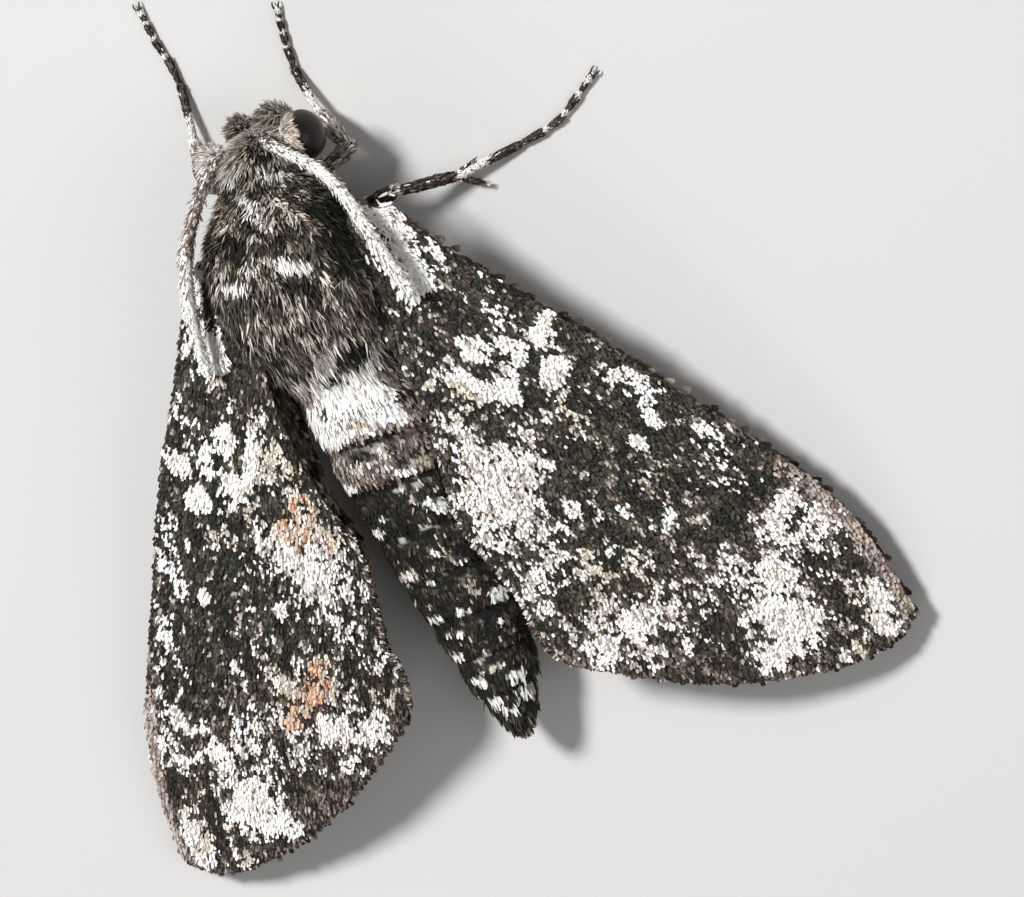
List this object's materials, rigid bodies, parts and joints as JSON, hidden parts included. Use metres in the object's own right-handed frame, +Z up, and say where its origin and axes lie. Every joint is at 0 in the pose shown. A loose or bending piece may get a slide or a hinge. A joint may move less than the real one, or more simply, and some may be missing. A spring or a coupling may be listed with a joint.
{
  "type": "pawpaw sphinx moth",
  "caption": "Life-size still model of a resting pawpaw sphinx moth: furred body, swept forewings sloping like a roof, folded hindwings, feelers laid back, legs out in front.",
  "frame": {"origin": "on the floor, under the middle of the moth's bounding box", "axes": "-Y towards the head, +X towards the moth's left wing, +Z up"},
  "size_m": [0.0372, 0.0358, 0.0082],
  "materials": {
    "fur_dark": "matt pile of dark brown and black scales with grey and white tips",
    "fur_head": "matt pinkish brown pile",
    "wing_scale": "powdery flat scales, olive black frosted with white",
    "hindwing_scale": "powdery grey brown scales",
    "eye_dark": "smooth and glossy",
    "antenna_white": "white scales above, brown below",
    "leg_brown": "dark brown scales with white rings"
  },
  "bodies": {
    "root": {"head": "fur_head", "palp_left": "fur_head", "palp_right": "fur_head", "eye_left": "eye_dark", "eye_right": "eye_dark", "antenna_left": "antenna_white", "antenna_right": "antenna_white", "thorax": "fur_dark", "abdomen": "fur_dark", "forewing_left": "wing_scale", "forewing_right": "wing_scale", "hindwing_left": "hindwing_scale", "hindwing_right": "hindwing_scale", "foreleg_left": "leg_brown", "foreleg_right": "leg_brown", "midleg_left": "leg_brown", "midleg_right": "leg_brown", "hindleg_left": "leg_brown", "hindleg_right": "leg_brown"}
  },
  "joints": []
}
